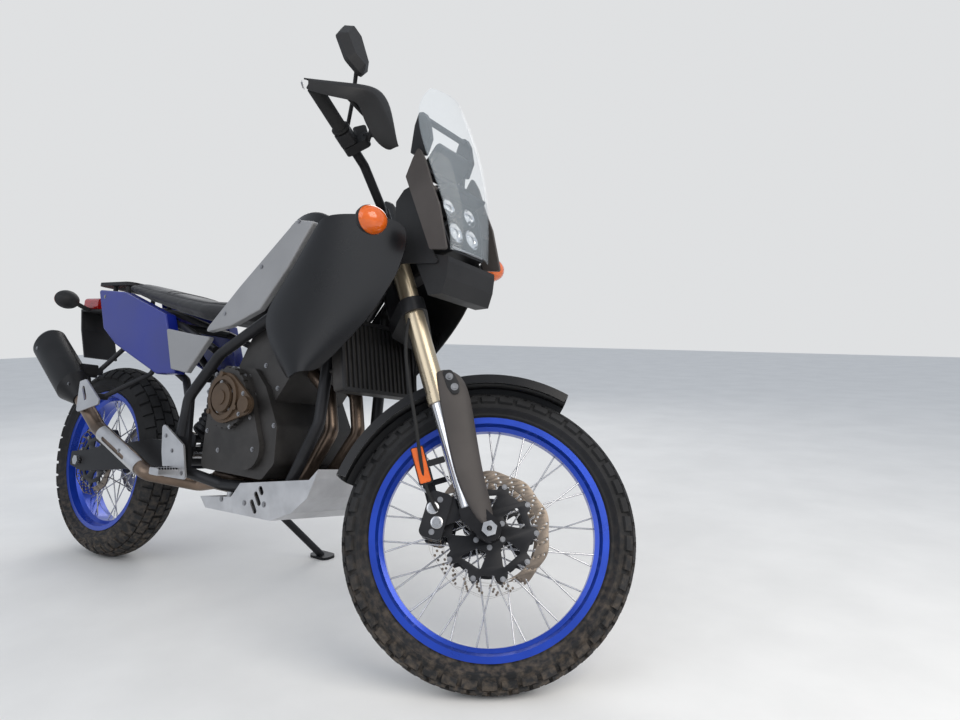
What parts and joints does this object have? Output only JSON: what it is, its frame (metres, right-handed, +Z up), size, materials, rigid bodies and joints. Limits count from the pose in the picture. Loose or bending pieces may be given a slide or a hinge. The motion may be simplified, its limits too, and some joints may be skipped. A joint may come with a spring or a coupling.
{
  "type": "adventure motorcycle",
  "caption": "Tall off-road touring motorcycle with wire wheels, upside-down fork, screen, skid plate and side exhaust, leaning on its side stand",
  "frame": {"origin": "on the floor below the middle of the parked machine's bounding box", "axes": "+X towards the front wheel along the machine, +Y to the rider's left, +Z up"},
  "size_m": [2.2214, 0.7706, 1.5446],
  "materials": {
    "amber": "amber lens",
    "black_metal": "satin black",
    "black_plastic": "grained black",
    "chain_steel": "oiled steel",
    "cover_bronze": "bronze coated cast aluminium",
    "disc_steel": "ground steel",
    "engine_grey": "dark cast aluminium",
    "exhaust_steel": "heat stained steel",
    "fork_chrome": "hard chrome stanchion on a dark foot",
    "fork_gold": "satin bronze anodised",
    "frame_paint": "black powder coat",
    "gloss_black": "semi gloss black",
    "guard_grey": "grained warm grey plastic",
    "lamp_glass": "clear lens over dark housing",
    "muffler_black": "black can with a bright end ring",
    "panel_blue": "deep blue paint",
    "panel_grey": "light warm grey paint",
    "radiator_core": "dark fins",
    "red_lens": "red lens",
    "rim_blue": "bright blue anodised",
    "rubber": "black rubber",
    "screen_clear": "clear polycarbonate",
    "seat_cover": "grained black cover",
    "shield_silver": "satin aluminium",
    "skid_alu": "brushed aluminium",
    "spoke_steel": "bright wire, black hub",
    "sprocket_steel": "satin steel",
    "tank_black": "gloss black paint",
    "tyre": "matte black block tread"
  },
  "bodies": {
    "chassis": {"main_frame": "frame_paint", "swingarm": "black_metal", "rear_axle": "spoke_steel", "swingarm_bolt": "spoke_steel", "chain": "chain_steel", "rear_shock": "black_metal", "engine": "engine_grey", "engine_covers": "engine_grey", "clutch_cap": "cover_bronze", "exhaust_headers": "exhaust_steel", "muffler": "muffler_black", "heat_shields": "shield_silver", "radiator": "radiator_core", "radiator_guard": "black_plastic", "fuel_tank": "tank_black", "tank_panels": "panel_grey", "shrouds": "gloss_black", "side_covers": "panel_grey", "tail_panels": "panel_blue", "seat": "seat_cover", "tail_carrier": "black_plastic", "rear_fender": "black_plastic", "tail_lamp": "red_lens", "indicators": "amber", "headlamp": "lamp_glass", "fairing_struts": "guard_grey", "instrument_tower": "black_metal", "headlamp_cowl": "black_plastic", "windscreen": "screen_clear", "skid_plate": "skid_alu", "footrests": "shield_silver", "rear_caliper": "black_metal"},
    "side_stand": {"side_stand": "black_metal"},
    "fuel_cap": {"fuel_cap": "black_metal"},
    "steering": {"fork_outer_tubes": "fork_gold", "fork_lowers": "fork_chrome", "front_axle": "spoke_steel", "fork_guards": "guard_grey", "triple_clamps": "black_metal", "handlebar": "black_metal", "grips": "rubber", "bar_controls": "black_plastic", "hand_guards": "black_plastic", "mirrors": "black_plastic", "front_fender": "gloss_black", "front_calipers": "black_metal", "reflectors": "amber"},
    "front_wheel": {"front_tyre": "tyre", "front_rim": "rim_blue", "front_hub": "spoke_steel", "front_discs": "disc_steel"},
    "rear_wheel": {"rear_tyre": "tyre", "rear_rim": "rim_blue", "rear_hub": "spoke_steel", "rear_disc": "disc_steel", "rear_sprocket": "sprocket_steel"}
  },
  "joints": [
    {"name": "steering_turn", "type": "hinge", "parent": "chassis", "child": "steering", "pos_m": [0.49243, -0.06262, 0.83012], "axis": [-0.4491, 0.1618, 0.8787], "range_deg": [-71.6, 0]},
    {"name": "front_wheel_spin", "type": "hinge", "parent": "steering", "child": "front_wheel", "pos_m": [0.80687, -0.1177, 0.3224], "axis": [-0.5235, 0.7494, -0.4055], "continuous": true},
    {"name": "rear_wheel_spin", "type": "hinge", "parent": "chassis", "child": "rear_wheel", "pos_m": [-0.77727, -0.15639, 0.32925], "axis": [-0.001, 0.9834, -0.1815], "continuous": true},
    {"name": "side_stand_fold", "type": "hinge", "parent": "chassis", "child": "side_stand", "pos_m": [-0.18952, -0.02583, 0.28408], "axis": [0.1335, 0.7514, 0.6462], "range_deg": [0, 95]},
    {"name": "fuel_cap_lift", "type": "hinge", "parent": "chassis", "child": "fuel_cap", "pos_m": [0.23218, -0.00852, 1.1246], "axis": [-0.001, 0.9834, -0.1815], "range_deg": [0, 100]}
  ]
}
